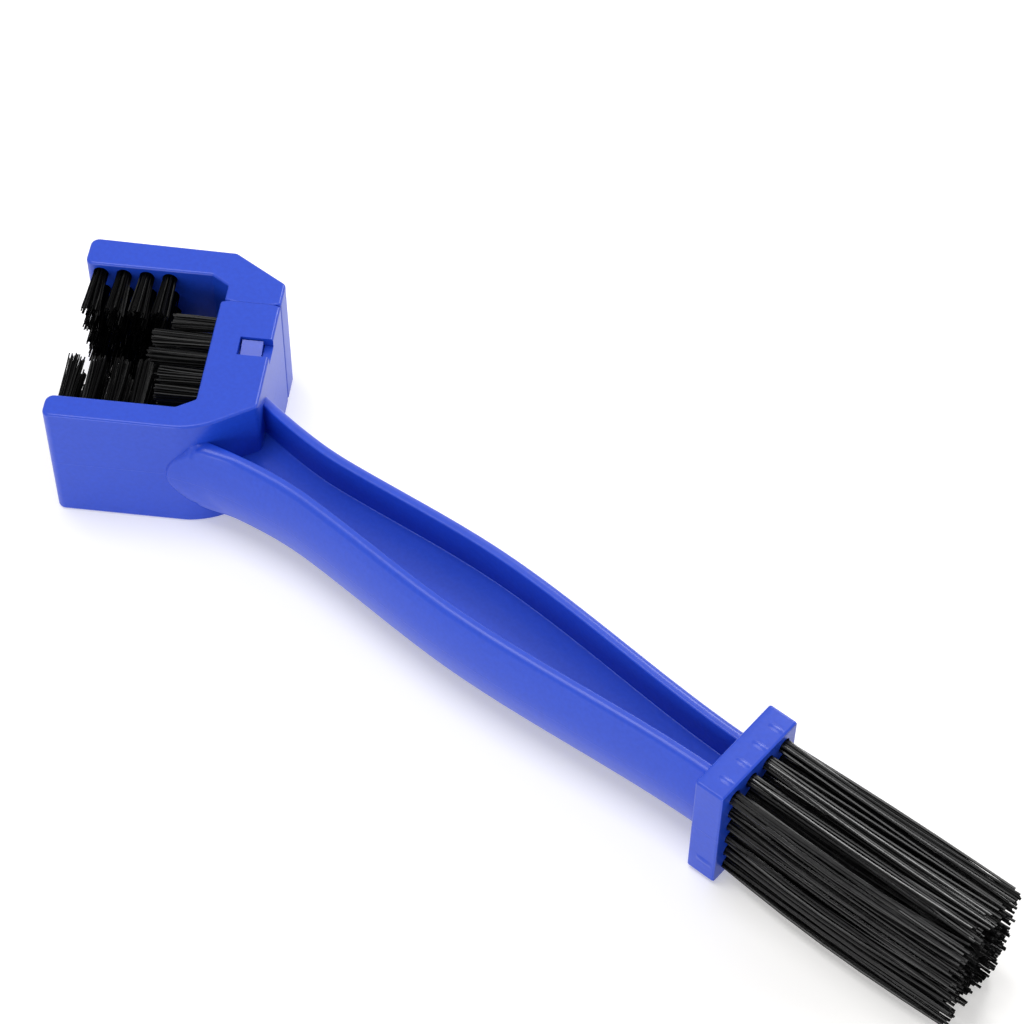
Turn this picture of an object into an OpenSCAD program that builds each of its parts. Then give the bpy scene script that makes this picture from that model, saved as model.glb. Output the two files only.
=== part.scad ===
/* [Head] */
// Depth of the head, from its resting face to its upper face
head_depth = 33; // [26:0.5:40]
// Reach of the head, from its back face to the tips of its arms
head_reach = 47.1; // [44:0.1:60]
// Span of the head across both arms
head_span = 54; // [52:0.5:70]
// Turn of the head against the handle, in degrees
head_turn = 33.4; // [28:0.2:38]
// Thickness of the lower arm
arm_thick = 6.3; // [6:0.1:8]
// Thickness of the jaw's arm
jaw_thick = 7.6; // [6.5:0.1:8]
// Extra thickness of the jaw's arm at its tip
jaw_taper = 0.6; // [0:0.1:1]
// Thickness of the back wall of the body
back_thick = 13.9; // [13:0.1:16]
// Height of the seam between body and jaw, over the outer face of the lower arm
seam_height = 38.9; // [37:0.1:40]
// Length of each outer corner cut, along the arm
outer_cut_long = 12.8; // [9:0.1:13]
// Length of each outer corner cut, along the back face
outer_cut_short = 8.3; // [6:0.1:9]
// Length of each inner corner cut, along the arm
inner_cut_long = 4.2; // [3:0.1:5]
// Length of each inner corner cut, along the back wall
inner_cut_short = 2.7; // [2:0.1:4]
// Radius of the corners at the arm tips
tip_radius = 2; // [0.5:0.1:3]
// Radius of the soft bend between the lower arm and its corner cut
arm_bend_radius = 16; // [6:0.5:18]
// Radius of the other outer corners
corner_radius = 1.4; // [0.5:0.1:2]
// Radius of the corners inside the mouth
mouth_radius = 0.8; // [0.3:0.1:1.2]

/* [Jaw] */
// Step by which the back of the jaw is thinner than the back wall of the body
jaw_step = 0.8; // [0:0.1:1.5]
// Gap of the seam between body and jaw
seam_gap = 0.1; // [0.05:0.05:0.3]
// Thickness of the tongue that enters the body
tongue_thick = 4.8; // [4:0.1:5.2]
// Length of the tongue below the seam
tongue_length = 7.4; // [5:0.1:9]
// Distance from the back face to the tongue's socket
socket_back = 2; // [1.6:0.1:2.2]
// Wall between the socket and each flat face of the head
socket_skin = 2; // [1.6:0.1:2.6]
// Clearance between the tongue and its socket, on each side
tongue_fit = 0.15; // [0.1:0.05:0.3]
// Clearance under the latch legs at the bottom of the socket
socket_sump = 3.2; // [2:0.1:5]

/* [Latch] */
// Thickness of a latch leg
latch_leg = 2.2; // [1.6:0.1:2.6]
// Length of a latch leg below the tongue
latch_length = 8; // [7:0.1:9]
// Height of the ramp on a latch leg
latch_rise = 1.5; // [1.2:0.1:1.8]
// Length of the ramp on a latch leg
latch_ramp = 4.6; // [3.5:0.1:5]
// Length of a latch window, along the back wall
window_length = 5.4; // [5.2:0.1:6]
// Depth of the upper window, which is a notch that also opens on the back face
notch_depth = 2.4; // [2.2:0.1:3]
// Clearance between a latch and the sides of its window
latch_fit = 0.3; // [0.2:0.05:0.4]

/* [Handle] */
// Distance from the head's lower back corner to the front of the handle's origin
head_x = 12; // [10:0.5:14]
// Sideways distance from the handle's axis to the head's lower back corner
head_y = 5.2; // [4.5:0.1:6]
// Distance from the origin to the tail block
handle_length = 141.3; // [125:0.5:170]
// Distance that the handle reaches back inside the head
root_length = 6.5; // [6:0.1:7]
// Height of the handle's walls
wall_height = 21; // [18:0.5:25]
// Thickness of a wall at its rim
rim_thick = 2.3; // [1.8:0.1:3]
// Bulge of a wall's outer side, over its rim
wall_bulge = 2.6; // [1.5:0.1:3.5]
// Thickness of the web between the walls
web_thick = 3; // [2:0.1:4]
// Half width across the rims at the waist
waist_half = 7.4; // [6.5:0.1:8.5]
// Half width across the rims at the belly
belly_half = 10.1; // [9:0.1:12]
// Half width across the rims at the tail block
tail_half = 6.3; // [5.5:0.1:7.5]
// Distance from the origin to the waist
waist_x = 20; // [15:0.5:25]
// Distance from the origin to the belly
belly_x = 73; // [60:0.5:85]
// Widening of the handle where it runs into the head
root_flare = 5; // [3:0.1:6]
// Distance from the origin to the end of that widening
flare_x = 30; // [26:0.5:34]
// Sideways bow of the handle's middle line at the head
root_bow = 1.7; // [0:0.1:2.5]

/* [Tail block] */
// Thickness of the block that holds the tail bristles
block_thick = 7.1; // [6.5:0.1:9]
// Width of the block
block_width = 25; // [23.5:0.5:30]
// Height of the block
block_height = 31.4; // [30:0.1:33]
// Radius of the block's corners, seen from the tail
block_radius = 0.6; // [0.5:0.1:3]
// Rounding of the block's two upright edges on the handle's side
block_round = 1; // [0.5:0.1:2]
// Rounding of the block's two upright edges on the bristles' side
block_edge = 0.3; // [0.2:0.1:1]

/* [Tuft holes] */
// Radius of a tuft hole
hole_radius = 1.8; // [1.5:0.05:2]
// Depth of a tuft hole
hole_depth = 4.9; // [4.6:0.1:5.2]
// Rows of tufts across the depth of the head
head_rows = 6; // [4:1:6]
// Columns of tufts along each arm
arm_columns = 4; // [2:1:4]
// Rows of tufts up the back wall
back_columns = 5; // [3:1:5]
// Pitch of the head's tufts, across its depth
row_pitch = 5.4; // [5.1:0.05:5.5]
// Pitch of the tufts along an arm
arm_pitch = 5.4; // [5.1:0.05:5.6]
// Pitch of the tufts up the back wall
back_pitch = 5.3; // [5.1:0.05:5.5]
// Distance from an arm's tip to its first column
arm_margin = 3.5; // [3.2:0.1:4]
// Height of the lowest row on the back wall, over the outer face of the lower arm
back_first = 12.4; // [12:0.1:12.8]
// Columns of tufts across the tail block
tail_columns = 4; // [2:1:4]
// Rows of tufts up the tail block
tail_rows = 6; // [4:1:6]
// Pitch of the tail's tufts, across the block
tail_pitch_y = 5.5; // [4.9:0.05:5.8]
// Pitch of the tail's tufts, up the block
tail_pitch_z = 4.8; // [4.7:0.05:5]

/* [Bristles] */
// Clearance between a tuft's root and its hole
tuft_fit = 0.1; // [0.05:0.05:0.2]
// Height of the metal anchor under a tuft
anchor_height = 1.6; // [1.2:0.1:2]
// Thickness of the metal anchor
anchor_thick = 0.6; // [0.4:0.1:0.8]
// Free length of the tufts on the lower arm
arm_bristle = 13.8; // [11:0.1:14.2]
// Free length of the tufts on the jaw
jaw_bristle = 12.5; // [10:0.1:12.9]
// Free length of the tufts in the middle of the back wall
back_bristle = 14; // [12:0.1:16]
// Gap between the trimmed tufts of the back wall and the arms' nearest tufts
side_gap = 1.3; // [1.1:0.1:2]
// Free length of the tail's tufts
tail_bristle = 57; // [40:0.5:70]
// Length that the shortest strand of a head tuft lacks
head_ragged = 0.9; // [0:0.1:1.5]
// Length that the shortest strand of a tail tuft lacks
tail_ragged = 3.4; // [0:0.1:5]
// Outward spread of a strand's tip on the head
head_splay = 0.5; // [0:0.05:0.6]
// Outward spread of a strand's tip on the tail
tail_splay = 0.35; // [0:0.05:0.4]
// Gap between a strand's root and its neighbours' roots
strand_gap = 0.22; // [0.1:0.02:0.3]

/* [Hidden] */

// Overrun of every cut past the face that it opens
over = 0.5;
// Steps in a rounded corner, rings along the handle and steps down a wall's bulge
corner_steps = 5;
handle_rings = 32;
bulge_steps = 3;
$fn = 48;

// Softened edge of the handle's rims and fillet beside its web
rim_edge = 0.6;
web_fillet = 1.2;

// Sides of a tuft's root, and how many of its sides each strand takes
head_sides = 8;
head_stride = 2;
tail_sides = 7;
tail_stride = 1;

blue = [0.25, 0.35, 0.83];
black = [0.1, 0.1, 0.11];
steel = [0.72, 0.72, 0.7];

mid_z = head_depth / 2;
jaw_back = back_thick - jaw_step;
jaw_base = seam_height + seam_gap;
mouth_roof = head_span - jaw_thick;
socket_thick = tongue_thick + 2 * tongue_fit;
tongue_end = seam_height - tongue_length;
latch_end = tongue_end - latch_length;
window_top = latch_end + latch_ramp + latch_fit;
window_low = window_top - window_length;
first_column = head_reach - arm_margin;
last_column = first_column - (arm_columns - 1) * arm_pitch;
side_bristle = last_column - hole_radius - side_gap - back_thick;
block_front = handle_length + block_thick;
block_low = mid_z - block_height / 2;
root_depth = hole_depth - anchor_height;

// Geometry helpers

function unit(v) = v / norm(v);

// An even but irregular value between 0 and 1 for each seed
function scatter(seed) = rands(0, 1, 1, seed)[0];

function smooth(t) = let (s = min(max(t, 0), 1)) s * s * (3 - 2 * s);

function turned(list) = [for (i = [len(list) - 1 : -1 : 0]) list[i]];

// One corner of an outline, drawn as an arc when it has a radius
function corner(before, at, after, radius) =
  radius == 0 ? [at] :
  let (
    a = unit(before - at),
    b = unit(after - at),
    half = acos(a * b) / 2,
    centre = at + unit(a + b) * radius / sin(half),
    from = at + a * radius / tan(half) - centre,
    to = at + b * radius / tan(half) - centre
  )
  [for (i = [0 : corner_steps])
    let (t = i / corner_steps, blend = from * (1 - t) + to * t)
    centre + unit(blend) * radius];

// Outline from points that each hold a place and a corner radius
function rounded(points) =
  let (n = len(points))
  [for (i = [0 : n - 1])
    let (
      p = points[(i + n - 1) % n],
      q = points[i],
      r = points[(i + 1) % n]
    )
    each corner([p[0], p[1]], [q[0], q[1]], [r[0], r[1]], q[2])];

// The head's own frame: x runs from the arm tips to the back face, y from the lower arm to the jaw
module head_frame() {
  translate([head_x, -head_y, 0])
    rotate([0, 0, head_turn])
      children();
}

// Head

module head_outline() {
  polygon(rounded([
    [-head_reach, 0, tip_radius],
    [-outer_cut_long, 0, arm_bend_radius],
    [0, outer_cut_short, corner_radius],
    [0, head_span - outer_cut_short, corner_radius],
    [-outer_cut_long, head_span, corner_radius],
    [-head_reach, head_span + jaw_taper, tip_radius]
  ]));
}

// Waste outside the rounded corner between an arm's tip and the mouth; side is 1 for the lower arm, -1 for the jaw's
module mouth_corner(height, side) {
  far = height - side * 2 * tip_radius;
  difference() {
    translate([-head_reach - over, height - (side > 0 ? tip_radius : over)])
      square([tip_radius + over, tip_radius + over]);
    polygon(rounded([
      [-head_reach, far, 0],
      [-head_reach + 2 * tip_radius, far, 0],
      [-head_reach + 2 * tip_radius, height, 0],
      [-head_reach, height, tip_radius]
    ]));
  }
}

// All that is cut from the head's outline: the mouth and the corners of the arm tips
module head_waste(wall) {
  polygon(rounded([
    [-head_reach - over, arm_thick, 0],
    [-wall - inner_cut_long, arm_thick, mouth_radius],
    [-wall, arm_thick + inner_cut_short, mouth_radius],
    [-wall, mouth_roof - inner_cut_short, mouth_radius],
    [-wall - inner_cut_long, mouth_roof, mouth_radius],
    [-head_reach - over, mouth_roof, 0]
  ]));
  mouth_corner(arm_thick, 1);
  mouth_corner(mouth_roof, -1);
}

module lower_region() {
  translate([-head_reach - over, -over])
    square([head_reach + 2 * over, seam_height + over]);
}

module upper_region() {
  translate([-head_reach - over, jaw_base])
    square([head_reach + 2 * over, head_span + jaw_taper - jaw_base + over]);
}

// Handle: an H section swept along the tool, waisted at the head and full in the middle

function half_width(x) =
  let (
    front = waist_half + (belly_half - waist_half) * smooth((x - waist_x) / (belly_x - waist_x)),
    rear = belly_half + (tail_half - belly_half) * smooth((x - belly_x) / (handle_length - belly_x)),
    flare = pow(max(flare_x - x, 0) / (flare_x + root_length), 2)
  )
  (x < belly_x ? front : rear) + root_flare * flare;

function middle_line(x) =
  -root_bow * pow(max(belly_x - x, 0) / (belly_x + root_length), 2);

function bulge_radius() =
  (pow(wall_height / 2, 2) + pow(wall_bulge, 2)) / (2 * wall_bulge);

// How far the outer side stands past the rim at a height above the web
function bulge_at(z) =
  wall_bulge - bulge_radius() + sqrt(pow(bulge_radius(), 2) - z * z);

// A quarter of the section, from the web out to the bulge
function quarter(x, side, up) =
  let (
    w = half_width(x),
    h = wall_height / 2,
    inner = w - rim_thick,
    flank = [for (i = [0 : bulge_steps - 1])
      let (z = (h - rim_edge) * (1 - i / bulge_steps)) [w + bulge_at(z), z]],
    outline = concat(
      [
        [inner - web_fillet, web_thick / 2],
        [inner, web_thick / 2 + web_fillet],
        [inner, h - rim_edge],
        [inner + rim_edge, h],
        [w - rim_edge, h]
      ],
      flank
    )
  )
  [for (p = outline) [x, middle_line(x) + side * p[0], mid_z + up * p[1]]];

function bulge_point(x, side) =
  [[x, middle_line(x) + side * (half_width(x) + wall_bulge), mid_z]];

function handle_ring(x) = concat(
  quarter(x, 1, 1), bulge_point(x, 1), turned(quarter(x, 1, -1)),
  quarter(x, -1, -1), bulge_point(x, -1), turned(quarter(x, -1, 1))
);

module handle_bar() {
  stretch = handle_length + block_thick / 2 + root_length;
  rings = [for (i = [0 : handle_rings]) handle_ring(-root_length + stretch * i / handle_rings)];
  count = len(rings[0]);
  sides = [for (i = [0 : handle_rings - 1], j = [0 : count - 1])
    let (
      a = i * count + j,
      b = i * count + (j + 1) % count,
      c = b + count,
      d = a + count
    )
    each [[a, b, c], [a, c, d]]];
  near_cap = [for (j = [0 : count - 1]) count - 1 - j];
  far_cap = [for (j = [0 : count - 1]) handle_rings * count + j];
  polyhedron(points = [for (r = rings) each r], faces = concat(sides, [near_cap, far_cap]));
}

// Tail block: its outline from the tail, trimmed by its outline from above
module tail_block() {
  intersection() {
    translate([handle_length, 0, mid_z])
      rotate([90, 0, 90])
        linear_extrude(block_thick)
          polygon(rounded([
            [-block_width / 2, -block_height / 2, block_radius],
            [block_width / 2, -block_height / 2, block_radius],
            [block_width / 2, block_height / 2, block_radius],
            [-block_width / 2, block_height / 2, block_radius]
          ]));
    translate([0, 0, block_low - over])
      linear_extrude(block_height + 2 * over)
        polygon(rounded([
          [handle_length, -block_width / 2, block_round],
          [block_front, -block_width / 2, block_edge],
          [block_front, block_width / 2, block_edge],
          [handle_length, block_width / 2, block_round]
        ]));
  }
}

// Places of the tufts: each child stands on its surface and points out of it

function spread(count, pitch, i) = (i - (count - 1) / 2) * pitch;

module at_rows() {
  for (row = [0 : head_rows - 1])
    translate([0, 0, mid_z + spread(head_rows, row_pitch, row)])
      children();
}

module at_jaw(column) {
  head_frame()
    translate([-first_column + column * arm_pitch, mouth_roof, 0])
      at_rows()
        rotate([90, 0, 0])
          children();
}

module at_arm(column) {
  head_frame()
    translate([-first_column + column * arm_pitch, arm_thick, 0])
      at_rows()
        rotate([-90, 0, 0])
          children();
}

module at_back(column) {
  head_frame()
    translate([-back_thick, back_first + column * back_pitch, 0])
      at_rows()
        rotate([0, -90, 0])
          children();
}

module at_tail(row) {
  for (column = [0 : tail_columns - 1])
    translate([
      block_front,
      spread(tail_columns, tail_pitch_y, column),
      mid_z + spread(tail_rows, tail_pitch_z, row)
    ])
      rotate([0, 90, 0])
        children();
}

module tuft_hole() {
  translate([0, 0, -hole_depth])
    cylinder(r = hole_radius, h = hole_depth + over);
}

module anchor() {
  width = 2 * (hole_radius - tuft_fit);
  translate([-width / 2, -anchor_thick / 2, -hole_depth])
    cube([width, anchor_thick, anchor_height]);
}

// A tuft: a many-sided root in its hole, with three-sided strands fused to the top of it

module tuft(sides, stride, free, ragged, splay, seed) {
  radius = hole_radius - tuft_fit;
  rim = [for (i = [0 : sides - 1]) radius * [cos(360 * i / sides), sin(360 * i / sides)]];
  cells = [for (i = [0 : stride : sides - 1]) i];
  inset = strand_gap / radius;
  feet = [for (i = cells)
    let (
      a = [0, 0],
      b = rim[i],
      c = rim[(i + 1) % sides],
      middle = (a + b + c) / 3
    )
    [for (p = [a, b, c]) middle + (p - middle) * (1 - 3 * inset)]];
  points = concat(
    [for (p = rim) [p[0], p[1], -root_depth]],
    [for (p = rim) [p[0], p[1], 0]],
    [[0, 0, 0]],
    [for (k = [0 : len(cells) - 1])
      let (
        foot = feet[k],
        middle = (foot[0] + foot[1] + foot[2]) / 3,
        lean = unit(middle) * splay * (1 - scatter(seed + 3 * k) / 2),
        height = free - ragged * scatter(seed + 7 * k + 1)
      )
      each concat(
        [for (p = foot) [p[0], p[1], 0]],
        [for (p = foot) [p[0] + lean[0], p[1] + lean[1], height]]
      )]
  );
  hub = 2 * sides;
  skirt = [for (i = [0 : sides - 1])
    let (a = i, b = (i + 1) % sides)
    each [[a, a + sides, b + sides], [a, b + sides, b]]];
  base = [for (i = [1 : sides - 2]) [0, i, i + 1]];
  plain = [for (i = [0 : sides - 1]) if (i % stride != 0)
    [hub, sides + (i + 1) % sides, sides + i]];
  strands = [for (k = [0 : len(cells) - 1])
    let (
      i = cells[k],
      outer = [hub, sides + i, sides + (i + 1) % sides],
      f = hub + 1 + 6 * k,
      t = f + 3
    )
    each concat(
      [for (e = [0 : 2])
        let (n = (e + 1) % 3)
        each [
          [outer[e], f + n, outer[n]],
          [outer[e], f + e, f + n],
          [f + e, t + n, f + n],
          [f + e, t + e, t + n]
        ]],
      [[t, t + 2, t + 1]]
    )];
  polyhedron(points = points, faces = concat(skirt, base, plain, strands));
}

module head_tuft(free, seed) {
  tuft(head_sides, head_stride, free, head_ragged, head_splay, seed);
}

// Parts

module body() {
  color(blue)
    difference() {
      union() {
        head_frame()
          linear_extrude(head_depth)
            intersection() {
              head_outline();
              lower_region();
            }
        handle_bar();
        tail_block();
      }
      head_frame() {
        translate([0, 0, -over])
          linear_extrude(head_depth + 2 * over)
            head_waste(back_thick);
        latch_socket();
      }
      for (column = [0 : arm_columns - 1])
        at_arm(column)
          tuft_hole();
      for (column = [0 : back_columns - 1])
        at_back(column)
          tuft_hole();
      for (row = [0 : tail_rows - 1])
        at_tail(row)
          tuft_hole();
    }
}

// Socket for the tongue, with a window to each flat face. The upper one runs out to the back edge
module latch_socket() {
  translate([-socket_back - socket_thick, latch_end - socket_sump, socket_skin])
    cube([
      socket_thick,
      seam_height - latch_end + socket_sump + over,
      head_depth - 2 * socket_skin
    ]);
  translate([-socket_back - socket_thick - latch_fit, window_low, head_depth - notch_depth])
    cube([socket_back + socket_thick + latch_fit + over, window_length, notch_depth + over]);
  translate([-socket_back - socket_thick - latch_fit, window_low, -over])
    cube([socket_thick + 2 * latch_fit, window_length, socket_skin + 2 * over]);
}

module jaw() {
  color(blue)
    difference() {
      head_frame() {
        linear_extrude(head_depth)
          difference() {
            intersection() {
              head_outline();
              upper_region();
            }
            head_waste(jaw_back);
          }
        translate([
          -socket_back - socket_thick + tongue_fit,
          tongue_end,
          socket_skin + tongue_fit
        ])
          cube([
            tongue_thick,
            tongue_length + seam_gap + over,
            head_depth - 2 * socket_skin - 2 * tongue_fit
          ]);
      }
      for (column = [0 : arm_columns - 1])
        at_jaw(column)
          tuft_hole();
    }
}

// A latch leg hangs from the tongue and its ramp fills a window
module latch_leg_shape() {
  translate([-socket_back - socket_thick + tongue_fit, 0, 0])
    rotate([90, 0, 90])
      linear_extrude(tongue_thick)
        polygon([
          [tongue_end, -latch_leg],
          [tongue_end, 0],
          [latch_end + latch_ramp, 0],
          [latch_end + latch_ramp, latch_rise],
          [latch_end, 0],
          [latch_end, -latch_leg]
        ]);
}

module latch_top() {
  color(blue)
    head_frame()
      translate([0, 0, head_depth - socket_skin - tongue_fit])
        latch_leg_shape();
}

module latch_bottom() {
  color(blue)
    head_frame()
      translate([0, 0, socket_skin + tongue_fit])
        mirror([0, 0, 1])
          latch_leg_shape();
}

module jaw_tufts(column) {
  color(black)
    at_jaw(column)
      head_tuft(jaw_bristle, column + 1);
}

module arm_tufts(column) {
  color(black)
    at_arm(column)
      head_tuft(arm_bristle, column + 11);
}

// The rows beside the arms are trimmed short of the arms' own tufts
module back_tufts(column) {
  beside = column < 2 || column == back_columns - 1;
  color(black)
    at_back(column)
      head_tuft(beside ? side_bristle : back_bristle, column + 21);
}

module tail_tufts(row) {
  color(black)
    at_tail(row)
      tuft(tail_sides, tail_stride, tail_bristle, tail_ragged, tail_splay, row + 31);
}

module jaw_anchors() {
  color(steel)
    for (column = [0 : arm_columns - 1])
      at_jaw(column)
        anchor();
}

module arm_anchors() {
  color(steel)
    for (column = [0 : arm_columns - 1])
      at_arm(column)
        anchor();
}

module back_anchors() {
  color(steel)
    for (column = [0 : back_columns - 1])
      at_back(column)
        anchor();
}

module tail_anchors() {
  color(steel)
    for (row = [0 : tail_rows - 1])
      at_tail(row)
        anchor();
}

body();
jaw();
latch_top();
latch_bottom();
jaw_tufts(0);  // jaw_tufts_1
jaw_tufts(1);  // jaw_tufts_2
jaw_tufts(2);  // jaw_tufts_3
jaw_tufts(3);  // jaw_tufts_4
arm_tufts(0);  // arm_tufts_1
arm_tufts(1);  // arm_tufts_2
arm_tufts(2);  // arm_tufts_3
arm_tufts(3);  // arm_tufts_4
back_tufts(0);  // back_tufts_1
back_tufts(1);  // back_tufts_2
back_tufts(2);  // back_tufts_3
back_tufts(3);  // back_tufts_4
back_tufts(4);  // back_tufts_5
tail_tufts(0);  // tail_tufts_1
tail_tufts(1);  // tail_tufts_2
tail_tufts(2);  // tail_tufts_3
tail_tufts(3);  // tail_tufts_4
tail_tufts(4);  // tail_tufts_5
tail_tufts(5);  // tail_tufts_6
jaw_anchors();
arm_anchors();
back_anchors();
tail_anchors();
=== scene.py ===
import math
import random

import bmesh
import bpy
from mathutils import Matrix, Vector


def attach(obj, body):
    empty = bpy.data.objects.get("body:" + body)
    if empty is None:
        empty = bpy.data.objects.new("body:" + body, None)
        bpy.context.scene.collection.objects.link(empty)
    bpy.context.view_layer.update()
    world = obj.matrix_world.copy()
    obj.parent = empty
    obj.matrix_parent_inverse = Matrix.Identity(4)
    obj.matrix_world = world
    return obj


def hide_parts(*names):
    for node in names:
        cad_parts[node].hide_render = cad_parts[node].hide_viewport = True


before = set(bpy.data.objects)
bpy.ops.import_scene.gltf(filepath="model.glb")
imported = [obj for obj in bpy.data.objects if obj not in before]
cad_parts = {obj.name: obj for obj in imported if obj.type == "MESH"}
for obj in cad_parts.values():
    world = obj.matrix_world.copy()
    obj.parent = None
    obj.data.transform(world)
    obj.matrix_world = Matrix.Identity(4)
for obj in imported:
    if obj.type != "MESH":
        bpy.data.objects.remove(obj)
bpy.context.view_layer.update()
unit = 0.001  # pieces are drawn in millimetres and finished in metres
nearly = 1e-4  # two heights that are closer than this are the same
weld = 1e-5  # points this near to a cutting plane lie on it
overrun = 1  # how far a cutting solid goes past the face that it opens
roundSteps = 6  # segments in the rounded corner of an outline
crease = 1  # radians: edges that turn by more than this get rounded
sameWay = 0.99  # faces point the same way when their normals' product is over this
print("frame loaded:", len(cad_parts), "nodes")


# shader helpers

class Link:
    # wraps an output socket, so that maths on it is written as plain expressions
    def __init__(self, tree, socket):
        self.tree = tree
        self.socket = socket

    def math(self, operation, *values):
        return addNode(self.tree, "ShaderNodeMath", {"operation": operation}, dict(enumerate(values)))

    def __add__(self, other):
        return self.math("ADD", self, other)

    def __radd__(self, other):
        return self.math("ADD", other, self)

    def __sub__(self, other):
        return self.math("SUBTRACT", self, other)

    def __rsub__(self, other):
        return self.math("SUBTRACT", other, self)

    def __mul__(self, other):
        return self.math("MULTIPLY", self, other)

    def __rmul__(self, other):
        return self.math("MULTIPLY", other, self)

    def __abs__(self):
        return self.math("ABSOLUTE", self)

    def out(self, name):
        return Link(self.tree, self.socket.node.outputs[name])


def addNode(tree, kind, settings=None, sockets=None):
    node = tree.nodes.new(kind)
    for name, value in (settings or {}).items():
        setattr(node, name, value)
    for name, value in (sockets or {}).items():
        if isinstance(value, Link):
            tree.links.new(value.socket, node.inputs[name])
        else:
            node.inputs[name].default_value = value
    return Link(tree, node.outputs[0]) if node.outputs else node


def newMaterial(name):
    made = bpy.data.materials.new(name)
    made.use_nodes = True
    made.node_tree.nodes.clear()
    return made, made.node_tree


def closeMaterial(tree, surface):
    addNode(tree, "ShaderNodeOutputMaterial", {}, {"Surface": surface})


def isOver(value, limit):
    return addNode(value.tree, "ShaderNodeMath", {"operation": "GREATER_THAN"}, {0: value, 1: limit})


def bell(distance, width):
    # 1 in the middle, falling smoothly to 0 past the width
    return addNode(distance.tree, "ShaderNodeMapRange", {"interpolation_type": "SMOOTHERSTEP"},
                   {"Value": abs(distance), "From Min": 0, "From Max": width, "To Min": 1, "To Max": 0})


# modelling helpers

def turned(degrees, axis):
    return Matrix.Rotation(math.radians(degrees), 4, axis)


def spreadOut(count, pitch, i):
    # the place of one of a row of things that stand round 0
    return (i - (count - 1) / 2) * pitch


def roundCorner(bm, corner, offset, segments):
    bmesh.ops.bevel(bm, geom=[corner], offset=offset, offset_type="OFFSET", affect="VERTICES",
                    segments=segments, profile=0.5, material=-1)


def addOutline(bm, corners):
    # a flat face from corners that each hold x, y and a rounding radius
    verts = [bm.verts.new((x, y, 0)) for x, y, radius in corners]
    bm.faces.new(verts)
    for i, (x, y, radius) in enumerate(corners):
        if radius:
            at = Vector((x, y))
            before = Vector(corners[i - 1][:2]) - at
            after = Vector(corners[(i + 1) % len(corners)][:2]) - at
            half = before.angle(after) / 2
            roundCorner(bm, verts[i], radius / math.tan(half), roundSteps)


def raiseFaces(bm, height):
    made = bmesh.ops.extrude_face_region(bm, geom=bm.faces[:])
    bmesh.ops.translate(bm, verts=[v for v in made["geom"] if isinstance(v, bmesh.types.BMVert)],
                        vec=(0, 0, height))
    bmesh.ops.recalc_face_normals(bm, faces=bm.faces[:])


def cutThrough(bm, place, across, clearOuter=False, clearInner=False):
    bmesh.ops.bisect_plane(bm, geom=bm.verts[:] + bm.edges[:] + bm.faces[:], dist=weld,
                           plane_co=place, plane_no=across, clear_outer=clearOuter, clear_inner=clearInner)


def cutFlat(bm, normal, place, across):
    # a cut through the faces on one side only
    faces = [f for f in bm.faces if f.normal.dot(Vector(normal)) > sameWay]
    edges = dict.fromkeys(e for f in faces for e in f.edges)
    verts = dict.fromkeys(v for f in faces for v in f.verts)
    bmesh.ops.bisect_plane(bm, geom=[*verts, *edges, *faces], dist=weld, plane_co=place, plane_no=across)


def softenEdges(bm, wanted, offset, segments):
    edges = [e for e in bm.edges if wanted(e)]
    bmesh.ops.bevel(bm, geom=edges, offset=offset, offset_type="OFFSET", affect="EDGES",
                    segments=segments, profile=0.5, material=-1, clamp_overlap=True)


def addBox(bm, low, high):
    size = [b - a for a, b in zip(low, high)]
    middle = [(a + b) / 2 for a, b in zip(low, high)]
    bmesh.ops.create_cube(bm, size=1, matrix=Matrix.Translation(middle) @ Matrix.Diagonal((*size, 1)))


def addRod(bm, place, radius, low, high, sides=32):
    bmesh.ops.create_cone(bm, cap_ends=True, segments=sides, radius1=radius, radius2=radius, depth=high - low,
                          matrix=place @ Matrix.Translation((0, 0, (low + high) / 2)))


def makeObject(bm, name, place=Matrix()):
    # turns a bmesh in millimetres into an object in metres, with its place in its mesh
    bm.transform(Matrix.Scale(unit, 4) @ place)
    mesh = bpy.data.meshes.new(name)
    bm.to_mesh(mesh)
    bm.free()
    piece = bpy.data.objects.new(name, mesh)
    bpy.context.scene.collection.objects.link(piece)
    return piece


def combine(piece, other, operation):
    # joins or cuts a piece with another solid, which is used up
    step = piece.modifiers.new("step", "BOOLEAN")
    step.operation = operation
    step.solver = "EXACT"
    step.object = other
    bpy.context.view_layer.update()
    made = bpy.data.meshes.new_from_object(piece.evaluated_get(bpy.context.evaluated_depsgraph_get()))
    piece.modifiers.clear()
    old = piece.data
    piece.data = made
    made.name = piece.name
    bpy.data.meshes.remove(old)
    bpy.data.objects.remove(other)


def finishPiece(piece, body, material, nodes, sharp=35):
    piece.data.materials.clear()
    piece.data.materials.append(material)
    for face in piece.data.polygons:
        face.material_index = 0
        face.use_smooth = True
    piece.data.set_sharp_from_angle(angle=math.radians(sharp))
    flat = piece.modifiers.new("flatFaces", "WEIGHTED_NORMAL")
    flat.keep_sharp = True
    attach(piece, body)
    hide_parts(*nodes)
    print(piece.name, len(piece.data.polygons), "faces")


# camera

camera = {
    "place": (311.2, -275.8, 509.9),
    "aim": (61.0, 25.8, 16.5),
    "roll": 0.753,
    "lens": 99.68,
    "sensor": 36,
    "clipEnd": 20,
}

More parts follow.
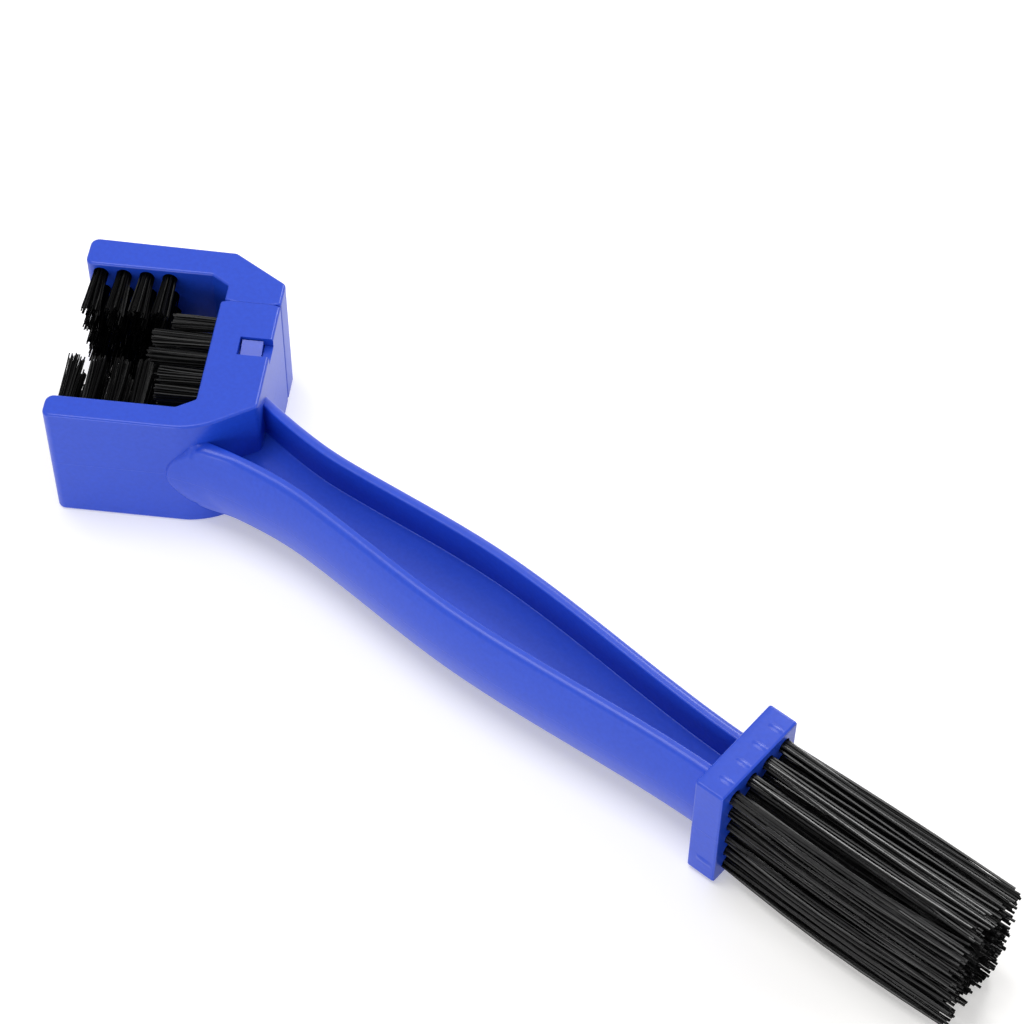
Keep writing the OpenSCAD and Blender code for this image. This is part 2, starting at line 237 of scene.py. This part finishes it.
eye = bpy.data.cameras.new("camera")
eye.lens = camera["lens"]
eye.sensor_width = camera["sensor"]
eye.clip_end = camera["clipEnd"]
viewer = bpy.data.objects.new("camera", eye)
bpy.context.scene.collection.objects.link(viewer)
line = Vector(camera["aim"]) - Vector(camera["place"])
roll = Matrix.Rotation(math.radians(camera["roll"]), 3, "Z").to_quaternion()
viewer.location = Vector(camera["place"]) * unit
viewer.rotation_mode = "QUATERNION"
viewer.rotation_quaternion = line.to_track_quat("-Z", "Y") @ roll
bpy.context.scene.camera = viewer
print("camera placed")


# light, floor and background

light = {
    "world": 0.46,
    "worldTint": (0.99, 0.98, 1.0, 1),
    "lamps": [
        {"name": "softbox", "power": 4.8, "size": 0.3, "place": (-0.115, 0.86, 0.76)},
        {"name": "kicker", "power": 6.5, "size": 0.6, "place": (-0.2, -0.08, 1.15)},
        {"name": "front", "power": 5.7, "size": 0.6, "place": (0.3, -1.2, 0.27)},
        {"name": "side", "power": 1.5, "size": 0.3, "place": (0.95, 0.5, 0.45)},
    ],
    "aim": (0.06, 0, 0),
    "floorColour": (0.86, 0.855, 0.84, 1),
    "floorGlow": 0.34,
    "floorSize": 12.0,
}

scene = bpy.context.scene
scene.view_settings.view_transform = "Standard"
world = bpy.data.worlds.new("studio")
scene.world = world
world.use_nodes = True
sky = world.node_tree
sky.nodes.clear()
rays = addNode(sky, "ShaderNodeLightPath")
lit = addNode(sky, "ShaderNodeBackground", {}, {"Color": light["worldTint"], "Strength": light["world"]})
seen = addNode(sky, "ShaderNodeBackground", {}, {"Color": (1, 1, 1, 1), "Strength": 1.0})
either = rays.math("MAXIMUM", rays.out("Is Camera Ray"), rays.out("Is Glossy Ray"))
anySeen = rays.math("MAXIMUM", either, rays.out("Is Transmission Ray"))
mixed = addNode(sky, "ShaderNodeMixShader", {}, {0: anySeen, 1: lit, 2: seen})
addNode(sky, "ShaderNodeOutputWorld", {}, {"Surface": mixed})

for item in light["lamps"]:
    lamp = bpy.data.lights.new(item["name"], "AREA")
    lamp.energy = item["power"]
    lamp.size = item["size"]
    holder = bpy.data.objects.new(item["name"], lamp)
    holder.location = item["place"]
    holder.rotation_mode = "QUATERNION"
    holder.rotation_quaternion = (Vector(light["aim"]) - holder.location).to_track_quat("-Z", "Y")
    scene.collection.objects.link(holder)

floorMaterial, tree = newMaterial("paleFloor")
closeMaterial(tree, addNode(tree, "ShaderNodeBsdfPrincipled", {}, {
    "Base Color": light["floorColour"], "Roughness": 1.0, "Specular IOR Level": 0.0,
    "Emission Color": light["floorColour"], "Emission Strength": light["floorGlow"]}))
bm = bmesh.new()
bmesh.ops.create_grid(bm, x_segments=1, y_segments=1, size=light["floorSize"] / 2 / unit)
floor = makeObject(bm, "floor")
floor.data.materials.append(floorMaterial)
print("light and floor ready")


# plastic and steel

plastic = {
    "deep": (0.008, 0.046, 0.45, 1), "pale": (0.011, 0.064, 0.57, 1), "ior": 1.46,
    "cloudScale": 45, "cloudDetail": 3, "cloudShare": 0.4, "grainScale": 1100, "grainShare": 0.6,
    "streakScale": (80, 400, 600), "streakDetail": 1, "streaksFrom": 5, "streaksFull": 30,
    "roughness": 0.34, "cloudRoughness": 0.05, "streakRoughness": 0.04,
    "peel": 0.012, "partingZ": 16.5, "partingWidth": 0.14, "partingHeight": 0.03, "upright": 0.5,
}

blue, tree = newMaterial("bluePlastic")
coords = addNode(tree, "ShaderNodeTexCoord").out("Object")
place = addNode(tree, "ShaderNodeSeparateXYZ", {}, {0: coords})
facing = addNode(tree, "ShaderNodeSeparateXYZ", {}, {0: addNode(tree, "ShaderNodeNewGeometry").out("Normal")})
cloud = addNode(tree, "ShaderNodeTexNoise", {}, {
    "Vector": coords, "Scale": plastic["cloudScale"], "Detail": plastic["cloudDetail"]})
grain = addNode(tree, "ShaderNodeTexNoise", {}, {"Vector": coords, "Scale": plastic["grainScale"], "Detail": 0})
lengthwise = addNode(tree, "ShaderNodeMapping", {}, {"Vector": coords, "Scale": plastic["streakScale"]})
streaks = addNode(tree, "ShaderNodeTexNoise", {}, {
    "Vector": lengthwise, "Scale": 1, "Detail": plastic["streakDetail"]})
tone = addNode(tree, "ShaderNodeMix", {"data_type": "RGBA"}, {
    "Factor": plastic["cloudShare"] * cloud + plastic["grainShare"] * grain,
    "A": plastic["deep"], "B": plastic["pale"]}).out("Result")
onGrip = addNode(tree, "ShaderNodeMapRange", {"interpolation_type": "SMOOTHSTEP"}, {
    "Value": place.out("X"), "To Min": 0, "To Max": 1,
    "From Min": plastic["streaksFrom"] * unit, "From Max": plastic["streaksFull"] * unit})
rough = (plastic["roughness"] + plastic["cloudRoughness"] * (cloud - 0.5)
         + plastic["streakRoughness"] * (streaks - 0.5) * onGrip)
# the mould's parting line runs round the upright faces at half height
parting = bell(place.out("Z") - plastic["partingZ"] * unit, plastic["partingWidth"] * unit)
parting = parting * (1 - isOver(abs(facing.out("Z")), plastic["upright"]))
height = grain * (plastic["peel"] * unit) + parting * (plastic["partingHeight"] * unit)
relief = addNode(tree, "ShaderNodeBump", {}, {"Strength": 1.0, "Distance": 1.0, "Height": height})
closeMaterial(tree, addNode(tree, "ShaderNodeBsdfPrincipled", {}, {
    "Base Color": tone, "Roughness": rough, "IOR": plastic["ior"], "Normal": relief}))

wire = {"colour": (0.6, 0.6, 0.58, 1), "roughness": 0.35, "spread": 0.2, "grain": 2500}

steel, tree = newMaterial("anchorSteel")
coords = addNode(tree, "ShaderNodeTexCoord").out("Object")
grain = addNode(tree, "ShaderNodeTexNoise", {}, {"Vector": coords, "Scale": wire["grain"], "Detail": 2})
closeMaterial(tree, addNode(tree, "ShaderNodeBsdfPrincipled", {}, {
    "Base Color": wire["colour"], "Metallic": 1.0,
    "Roughness": wire["roughness"] + wire["spread"] * (grain - 0.5)}))
print("plastic and steel ready")


# head

head = {
    "depth": 33, "reach": 47.1, "span": 54, "turn": 33.4, "corner": (12, -5.2),
    "arm": 6.3, "jawArm": 7.6, "back": 13.9, "jawStep": 0.8, "seam": 38.9, "seamGap": 0.04,
    "outerLong": 12.8, "outerShort": 8.3, "innerLong": 4.2, "innerShort": 2.7,
    "jawTaper": 0.6, "tipRadius": 2, "bendRadius": 16, "cornerRadius": 1.4, "mouthRadius": 0.8,
    "edge": 0.75, "edgeSteps": 5, "seamEdge": 0.25, "jawSeamEdge": 0.06, "seamEdgeSteps": 2,
    "seamRadius": 0.7, "seamSteps": 3,
}
headPlace = Matrix.Translation((*head["corner"], 0)) @ turned(head["turn"], "Z")
roof = head["span"] - head["jawArm"]


def headOutline(bm, back):
    reach, span, arm = head["reach"], head["span"], head["arm"]
    addOutline(bm, [
        (-reach, 0, head["tipRadius"]),
        (-head["outerLong"], 0, head["bendRadius"]),
        (0, head["outerShort"], head["cornerRadius"]),
        (0, span - head["outerShort"], head["cornerRadius"]),
        (-head["outerLong"], span, head["cornerRadius"]),
        (-reach, span + head["jawTaper"], head["tipRadius"]),
        (-reach, roof, head["tipRadius"]),
        (-back - head["innerLong"], roof, head["mouthRadius"]),
        (-back, roof - head["innerShort"], head["mouthRadius"]),
        (-back, arm + head["innerShort"], head["mouthRadius"]),
        (-back - head["innerLong"], arm, head["mouthRadius"]),
        (-reach, arm, head["tipRadius"]),
    ])


def splitAtSeam(bm, height, keepLower):
    cutThrough(bm, (0, height, 0), (0, 1, 0), keepLower, not keepLower)
    for corner in [v for v in bm.verts if abs(v.co.y - height) < nearly]:
        roundCorner(bm, corner, head["seamRadius"], head["seamSteps"])


def isCrease(edge):
    return len(edge.link_faces) == 2 and edge.calc_face_angle() > crease


def isRim(edge):
    heights = [v.co.z for v in edge.verts]
    return abs(heights[0] - heights[1]) < nearly and isCrease(edge)


def isSeam(edge, height):
    return all(abs(v.co.y - height) < nearly for v in edge.verts)


def softenHead(bm, height, seamEdge):
    # full rounding along the flat faces' outlines, but only a hair's breadth at the seam
    softenEdges(bm, lambda e: isRim(e) and not isSeam(e, height), head["edge"], head["edgeSteps"])
    softenEdges(bm, lambda e: isSeam(e, height) and isCrease(e), seamEdge, head["seamEdgeSteps"])


bm = bmesh.new()
headOutline(bm, head["back"])
splitAtSeam(bm, head["seam"], True)
raiseFaces(bm, head["depth"])
softenHead(bm, head["seam"], head["seamEdge"])
shell = makeObject(bm, "bodyShell", headPlace)
print("head blocked out")


# grip

grip = {
    "front": -6.5, "block": 141.3, "sunk": 3.5, "middleZ": 16.5, "wallHeight": 21, "rim": 2.3, "web": 3,
    "waistHalf": 7.4, "bellyHalf": 10.1, "tailHalf": 6.3, "waistX": 20, "bellyX": 73,
    "flare": 5, "flareX": 30, "bow": 1.7, "bulge": 2.6, "bulgeSteps": 32, "bulgeSkip": 4,
    "rimEdge": 0.45, "rimRound": 1.8, "fillet": 0.25, "rings": 58, "noseRings": 70, "noseEnd": 14,
    "noseTip": -5.5, "noseSlope": 0.066, "noseZ": 16.3, "noseRise": 1.3, "noseFade": 9, "noseSwell": 0.75,
}


def smoothStep(t):
    t = min(max(t, 0), 1)
    return t * t * (3 - 2 * t)


def halfWidth(x):
    if x < grip["bellyX"]:
        share = smoothStep((x - grip["waistX"]) / (grip["bellyX"] - grip["waistX"]))
        half = grip["waistHalf"] + (grip["bellyHalf"] - grip["waistHalf"]) * share
    else:
        share = smoothStep((x - grip["bellyX"]) / (grip["block"] - grip["bellyX"]))
        half = grip["bellyHalf"] + (grip["tailHalf"] - grip["bellyHalf"]) * share
    return half + grip["flare"] * (max(grip["flareX"] - x, 0) / (grip["flareX"] - grip["front"])) ** 2


def middleLine(x):
    return -grip["bow"] * (max(grip["bellyX"] - x, 0) / (grip["bellyX"] - grip["front"])) ** 2


def gripCorners(nominal):
    # the H section, drawn in y and z round the handle's middle
    rimZ, webZ, inner = grip["wallHeight"] / 2, grip["web"] / 2, nominal - grip["rim"]
    arc = (rimZ ** 2 + grip["bulge"] ** 2) / (2 * grip["bulge"])
    steps = grip["bulgeSteps"]
    side = [(inner, webZ, grip["fillet"]), (inner, rimZ, grip["rimEdge"]), (nominal, rimZ, grip["rimRound"])]
    for i in range(grip["bulgeSkip"], steps - grip["bulgeSkip"] + 1):
        z = rimZ * (1 - 2 * i / steps)
        side.append((nominal + grip["bulge"] - arc + math.sqrt(arc ** 2 - z ** 2), z, 0))
    side += [(nominal, -rimZ, grip["rimRound"]), (inner, -rimZ, grip["rimEdge"]),
             (inner, -webZ, grip["fillet"])]
    return side + [(-y, -z, radius) for y, z, radius in side]


def layAlong(bm, start):
    # a section's x, y and height become the handle's y, z and x
    swapped = Matrix(((0, 0, 1, 0), (1, 0, 0, 0), (0, 1, 0, 0), (0, 0, 0, 1)))
    bm.transform(Matrix.Translation((start, 0, grip["middleZ"])) @ swapped)


nominal = grip["bellyHalf"]
bm = bmesh.new()
addOutline(bm, gripCorners(nominal))
gripEnd = grip["block"] + grip["sunk"]
raiseFaces(bm, gripEnd - grip["front"])
layAlong(bm, grip["front"])
noseCuts = [grip["front"] + (grip["noseEnd"] - grip["front"]) * i / grip["noseRings"]
            for i in range(1, grip["noseRings"])]
longCuts = [grip["noseEnd"] + (gripEnd - grip["noseEnd"]) * i / grip["rings"] for i in range(grip["rings"])]
for cut in noseCuts + longCuts:
    cutThrough(bm, (cut, 0, 0), (1, 0, 0))
for v in bm.verts:
    side = math.copysign(1, v.co.y)
    outer = smoothStep((abs(v.co.y) - nominal + grip["rim"]) / grip["rim"])
    v.co.y += middleLine(v.co.x) + side * (halfWidth(v.co.x) - nominal)
    # the near wall ends in a full, rounded nose on the arm
    if side < 0:
        along = v.co.x - grip["noseTip"] - grip["noseSlope"] * (v.co.z - grip["noseZ"]) ** 2
        v.co.y -= grip["noseSwell"] * outer * smoothStep(along / grip["noseRise"]) * (
            1 - smoothStep((along - grip["noseRise"]) / grip["noseFade"]))
bmesh.ops.recalc_face_normals(bm, faces=bm.faces[:])
combine(shell, makeObject(bm, "gripBar"), "UNION")
print("grip joined to the head")


# tail block

block = {
    "front": 141.3, "thick": 7.1, "width": 25, "height": 31.4, "radius": 0.6,
    "backEdge": 1.0, "backSteps": 4, "frontEdge": 0.5, "frontSteps": 2,
    "bumps": 4, "bumpPitch": 5.5, "bumpX": 4.6, "sideBumpX": 4.1, "sideBumpZ": 6.4,
    "bump": (1.8, 0.9, 0.24), "bumpSunk": 0.01, "bumpRoot": 1, "bumpSteps": 14, "bumpFrame": (0.2, 2.0, 6.52),
}

halfY, halfZ = block["width"] / 2, block["height"] / 2
bm = bmesh.new()
addOutline(bm, [
    (-halfY, -halfZ, block["radius"]),
    (halfY, -halfZ, block["radius"]),
    (halfY, halfZ, block["radius"]),
    (-halfY, halfZ, block["radius"]),
])
raiseFaces(bm, block["thick"])
middle = block["thick"] / 2
softenEdges(bm, lambda e: isRim(e) and e.verts[0].co.z < middle, block["backEdge"], block["backSteps"])
softenEdges(bm, lambda e: isRim(e) and e.verts[0].co.z > middle, block["frontEdge"], block["frontSteps"])
bm.normal_update()
# frames of cuts round the ridges to come, which keep the flat faces' shading even
halfLong, halfWide, rise = block["bump"]
beside, frameLow, frameHigh = block["bumpFrame"]
for away in (-halfWide - beside, halfWide + beside):
    for i in range(block["bumps"]):
        cutFlat(bm, (0, 1, 0), (spreadOut(block["bumps"], block["bumpPitch"], i) + away, 0, 0), (1, 0, 0))
    cutFlat(bm, (-1, 0, 0), (0, block["sideBumpZ"] - grip["middleZ"] + away, 0), (0, 1, 0))
for height in (frameLow, frameHigh):
    cutFlat(bm, (0, 1, 0), (0, 0, height), (0, 0, 1))
    cutFlat(bm, (-1, 0, 0), (0, 0, height), (0, 0, 1))
layAlong(bm, block["front"])
combine(shell, makeObject(bm, "tailBlock"), "UNION")

# low ridges in a row on the top, and one on the near side
bumpX, bumpZ = block["front"] + block["bumpX"], grip["middleZ"] + halfZ
bumpPlaces = [Matrix.Translation((bumpX, spreadOut(block["bumps"], block["bumpPitch"], i), bumpZ))
              for i in range(block["bumps"])]
bumpPlaces.append(Matrix.Translation((block["front"] + block["sideBumpX"], -halfY, block["sideBumpZ"]))
                  @ turned(90, "X"))
bm = bmesh.new()
steps = block["bumpSteps"]
for at in bumpPlaces:
    made = bmesh.ops.create_grid(bm, x_segments=steps, y_segments=steps, size=1)["verts"]
    for v in made:
        v.co.z = rise * max(1 - v.co.xy.length_squared, 0) - block["bumpSunk"]
        v.co.x *= halfLong
        v.co.y *= halfWide
    raised = bmesh.ops.extrude_face_region(bm, geom=list(dict.fromkeys(f for v in made for f in v.link_faces)))
    lower = [v for v in raised["geom"] if isinstance(v, bmesh.types.BMVert)]
    for v in lower:
        v.co.z = -block["bumpRoot"]
    bmesh.ops.transform(bm, matrix=at, verts=made + lower)
bmesh.ops.recalc_face_normals(bm, faces=bm.faces[:])
combine(shell, makeObject(bm, "bumps"), "UNION")
print("tail block joined")


# mouth, socket, windows, marks and tuft holes

mouth = {"skin": 2, "stand": 0.01}
latch = {
    "back": 2, "thick": 5.1, "skin": 2, "low": 20.3,
    "windowLow": 23, "windowTop": 28.4, "fit": 0.3, "notch": 2.4,
}
marks = {"radius": 2.7, "sunk": 0.12, "sides": 48, "places": [(-10.2, 33.2), (-9, 13), (-30, 3.2)]}
holes = {
    "radius": 1.8, "depth": 4.9, "overrun": 0.5, "rows": 6, "rowPitch": 5.4,
    "armColumns": 4, "armPitch": 5.4, "armMargin": 3.5, "backColumns": 5, "backPitch": 5.3, "backFirst": 12.4,
    "besideColumns": (0, 1, 4), "tailRows": 6, "tailColumns": 4, "tailPitchY": 5.5, "tailPitchZ": 4.8,
}


def rowPlaces(x, y, turn):
    # the six holes of a column, one above the other in the head's depth
    heights = [grip["middleZ"] + spreadOut(holes["rows"], holes["rowPitch"], i) for i in range(holes["rows"])]
    return [headPlace @ Matrix.Translation((x, y, z)) @ turn for z in heights]


def armX(column):
    return -(head["reach"] - holes["armMargin"]) + column * holes["armPitch"]


def jawPlaces(column):
    return rowPlaces(armX(column), roof, turned(90, "X"))


def armPlaces(column):
    return rowPlaces(armX(column), head["arm"], turned(-90, "X"))


def backPlaces(column):
    return rowPlaces(-head["back"], holes["backFirst"] + column * holes["backPitch"], turned(-90, "Y"))


def tailPlaces(row):
    x = block["front"] + block["thick"]
    z = grip["middleZ"] + spreadOut(holes["tailRows"], holes["tailPitchZ"], row)
    across = [spreadOut(holes["tailColumns"], holes["tailPitchY"], i) for i in range(holes["tailColumns"])]
    return [Matrix.Translation((x, y, z)) @ turned(90, "Y") for y in across]


def drill(piece, places):
    bm = bmesh.new()
    for at in places:
        addRod(bm, at, holes["radius"], -holes["depth"], holes["overrun"])
    combine(piece, makeObject(bm, "drill"), "DIFFERENCE")


def cutBox(name, low, high):
    bm = bmesh.new()
    addBox(bm, low, high)
    combine(shell, makeObject(bm, name, headPlace), "DIFFERENCE")


bm = bmesh.new()
addOutline(bm, [
    (-head["reach"] - overrun, head["arm"], 0),
    (-head["back"] - head["innerLong"], head["arm"], head["mouthRadius"]),
    (-head["back"], head["arm"] + head["innerShort"], head["mouthRadius"]),
    (-head["back"], roof, 0),
    (-head["reach"] - overrun, roof, 0),
])
bmesh.ops.translate(bm, verts=bm.verts[:], vec=(0, 0, mouth["skin"]))
raiseFaces(bm, head["depth"] - 2 * mouth["skin"])
# the cut stands just off the faces that are already there
bmesh.ops.translate(bm, verts=bm.verts[:], vec=(-mouth["stand"], mouth["stand"], 0))
combine(shell, makeObject(bm, "mouth", headPlace), "DIFFERENCE")

depth, skin = head["depth"], latch["skin"]
inner, outer = -latch["back"] - latch["thick"], -latch["back"]
cutBox("socket", (inner, latch["low"], skin), (outer, head["seam"] + overrun, depth - skin))
cutBox("upperWindow", (inner - latch["fit"], latch["windowLow"], depth - latch["notch"]),
       (overrun, latch["windowTop"], depth + overrun))
cutBox("lowerWindow", (inner - latch["fit"], latch["windowLow"], -overrun),
       (outer + latch["fit"], latch["windowTop"], skin + overrun))
bm = bmesh.new()
for u, v in marks["places"]:
    addRod(bm, Matrix.Translation((u, v, 0)), marks["radius"], -overrun, marks["sunk"], marks["sides"])
combine(shell, makeObject(bm, "marks", headPlace), "DIFFERENCE")
drill(shell, [p for c in range(holes["armColumns"]) for p in armPlaces(c)]
      + [p for c in range(holes["backColumns"]) for p in backPlaces(c)]
      + [p for r in range(holes["tailRows"]) for p in tailPlaces(r)])
finishPiece(shell, "handle", blue, nodes=["body"])


# jaw

tongue = {"length": 7.4, "root": 3, "fit": 0.15, "edge": 0.3, "edgeSteps": 2}

bm = bmesh.new()
headOutline(bm, head["back"] - head["jawStep"])
splitAtSeam(bm, head["seam"] + head["seamGap"], False)
raiseFaces(bm, head["depth"])
softenHead(bm, head["seam"] + head["seamGap"], head["jawSeamEdge"])
jaw = makeObject(bm, "jawShell", headPlace)
bm = bmesh.new()
addBox(bm, (inner + tongue["fit"], head["seam"] - tongue["length"], skin + tongue["fit"]),
       (outer - tongue["fit"], head["seam"] + tongue["root"], depth - skin - tongue["fit"]))
softenEdges(bm, lambda e: True, tongue["edge"], tongue["edgeSteps"])
combine(jaw, makeObject(bm, "tongue", headPlace), "UNION")
drill(jaw, [p for c in range(holes["armColumns"]) for p in jawPlaces(c)])
finishPiece(jaw, "jaw", blue, nodes=["jaw"])


# bristle

headTurn = math.radians(head["turn"])
bristle = {
    "cutEnd": 0.8, "mottleRoughness": 0.2,
    # the strands on the arms and jaw are a darker copy of the same bristle as the back's: the extra darkness is
    # painted shade of the dense tufts in the mouth
    "head": {"dark": (0.0006, 0.0006, 0.0007, 1), "light": (0.002, 0.002, 0.0022, 1), "grain": 700,
             "roughness": 0.32, "ior": 1.12, "axis": (-math.sin(headTurn), math.cos(headTurn), 0)},
    "back": {"dark": (0.003, 0.003, 0.0032, 1), "light": (0.011, 0.011, 0.0115, 1), "grain": 700,
             "roughness": 0.32, "ior": 1.22, "axis": (math.cos(headTurn), math.sin(headTurn), 0)},
    "tail": {"dark": (0.0015, 0.0015, 0.0017, 1), "light": (0.008, 0.008, 0.0084, 1), "grain": 500,
             "roughness": 0.25, "ior": 1.36, "axis": (1, 0, 0)},
}


def makeBristle(name, item):
    # the cut ends of the strands, which face along the axis, are matt
    material, tree = newMaterial(name)
    coords = addNode(tree, "ShaderNodeTexCoord").out("Object")
    mottle = addNode(tree, "ShaderNodeTexNoise", {}, {"Vector": coords, "Scale": item["grain"], "Detail": 2})
    tone = addNode(tree, "ShaderNodeMix", {"data_type": "RGBA"}, {
        "Factor": mottle, "A": item["dark"], "B": item["light"]}).out("Result")
    rough = item["roughness"] + bristle["mottleRoughness"] * (mottle - 0.5)
    gloss = addNode(tree, "ShaderNodeBsdfPrincipled", {}, {
        "Base Color": tone, "Roughness": rough, "IOR": item["ior"]})
    matt = addNode(tree, "ShaderNodeBsdfDiffuse", {}, {"Color": item["dark"]})
    along = addNode(tree, "ShaderNodeVectorMath", {"operation": "DOT_PRODUCT"}, {
        0: addNode(tree, "ShaderNodeNewGeometry").out("Normal"), 1: item["axis"]}).out("Value")
    ends = isOver(abs(along), bristle["cutEnd"])
    closeMaterial(tree, addNode(tree, "ShaderNodeMixShader", {}, {0: ends, 1: gloss, 2: matt}))
    return material


# a darker copy for the arms' and jaw's tufts, whose extra darkness is painted shade
shadedMouthBristle = makeBristle("shadedMouthBristle", bristle["head"])
backBristle = makeBristle("backBristle", bristle["back"])
tailBristle = makeBristle("tailBristle", bristle["tail"])
print("bristle ready")


# tufts

tuft = {
    "rootRadius": 1.72, "sunk": 3.2,
    "armFree": 13.8, "jawFree": 12.5, "backFree": 14, "sideFree": 10.4, "tailFree": 56.8,
    "turnStep": 2.39996, "turnSpread": 0.25, "spin": 6.28,
    "thickness": (0.9, 1.08), "leanShare": (0.7, 1.15), "leanPower": 1.4, "taper": 0.12,
    "arm": {"strands": 34, "thick": 0.2, "ragged": 0.7, "splay": 0.55, "stray": 0.1, "bow": 0.08,
            "steps": 3, "sides": 5, "spread": (0, 0)},
    "jaw": {"strands": 36, "thick": 0.2, "ragged": 0.5, "splay": 0.85, "stray": 0.1, "bow": 0.08,
            "steps": 3, "sides": 5, "spread": (0, 0)},
    "tail": {"strands": 16, "thick": 0.36, "ragged": 3.2, "splay": 1.1, "stray": 0.34, "bow": 0.4,
             "steps": 6, "sides": 7, "spread": (0, -1.3)},
    "seeds": {"jaw": 11, "arm": 21, "back": 31, "tail": 41},
}


def strandShape(item):
    # a straight strand, 1 long and 1 in radius, with rings to bend it at
    bm = bmesh.new()
    addRod(bm, Matrix(), 1, 0, 1, item["sides"])
    for i in range(1, item["steps"]):
        cutThrough(bm, (0, 0, i / item["steps"]), (0, 0, 1))
    mesh = bpy.data.meshes.new("strand")
    bm.to_mesh(mesh)
    bm.free()
    return mesh


def plantTuft(bm, at, shape, item, free, rng, spread):
    for i in range(item["strands"]):
        thick = item["thick"] * rng.uniform(*tuft["thickness"])
        away = (tuft["rootRadius"] - thick) * math.sqrt((i + 0.5) / item["strands"])
        turn = i * tuft["turnStep"] + rng.uniform(-tuft["turnSpread"], tuft["turnSpread"])
        foot = Vector((math.cos(turn), math.sin(turn))) * away
        lean = foot / tuft["rootRadius"] * item["splay"] * rng.uniform(*tuft["leanShare"])
        lean += Vector((rng.gauss(0, 1), rng.gauss(0, 1))) * item["stray"]
        bow = Vector((rng.gauss(0, 1), rng.gauss(0, 1))) * item["bow"] + Vector(spread) * rng.random()
        top = free - item["ragged"] * rng.random() ** 2
        spin = Matrix.Rotation(rng.uniform(0, tuft["spin"]), 2)
        start = len(bm.verts)
        bm.from_mesh(shape)
        bm.verts.ensure_lookup_table()
        for v in bm.verts[start:]:
            t = v.co.z
            flat = foot + lean * t ** tuft["leanPower"] + bow * math.sin(math.pi * t)
            flat += spin @ v.co.xy * thick * (1 - tuft["taper"] * t)
            v.co = at @ Vector((flat.x, flat.y, -tuft["sunk"] + t * (top + tuft["sunk"])))


def makeTufts(name, body, node, places, item, free, material, seed):
    rng = random.Random(seed)
    shape = strandShape(item)
    bm = bmesh.new()
    for i, at in enumerate(places):
        plantTuft(bm, at, shape, item, free, rng, item["spread"] if i == 0 else (0, 0))
    bpy.data.meshes.remove(shape)
    finishPiece(makeObject(bm, name), body, material, nodes=[node], sharp=50)


for column in range(holes["armColumns"]):
    makeTufts(f"jawTufts{column + 1}", "jaw", f"jaw_tufts_{column + 1}", jawPlaces(column),
              tuft["jaw"], tuft["jawFree"], shadedMouthBristle, tuft["seeds"]["jaw"] + column)
    makeTufts(f"armTufts{column + 1}", "handle", f"arm_tufts_{column + 1}", armPlaces(column),
              tuft["arm"], tuft["armFree"], shadedMouthBristle, tuft["seeds"]["arm"] + column)
for column in range(holes["backColumns"]):
    # the columns beside the arms' tufts are short
    beside = column in holes["besideColumns"]
    makeTufts(f"backTufts{column + 1}", "handle", f"back_tufts_{column + 1}", backPlaces(column),
              tuft["arm"], tuft["sideFree"] if beside else tuft["backFree"], backBristle,
              tuft["seeds"]["back"] + column)
for row in range(holes["tailRows"]):
    makeTufts(f"tailTufts{row + 1}", "handle", f"tail_tufts_{row + 1}", tailPlaces(row),
              tuft["tail"], tuft["tailFree"], tailBristle, tuft["seeds"]["tail"] + row)


# finish of the kept nodes

finishes = {
    "latch_top": blue, "latch_bottom": blue,
    "jaw_anchors": steel, "arm_anchors": steel, "back_anchors": steel, "tail_anchors": steel,
}
for node, material in finishes.items():
    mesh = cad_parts[node].data
    mesh.materials.clear()
    mesh.materials.append(material)
print("kept nodes finished")
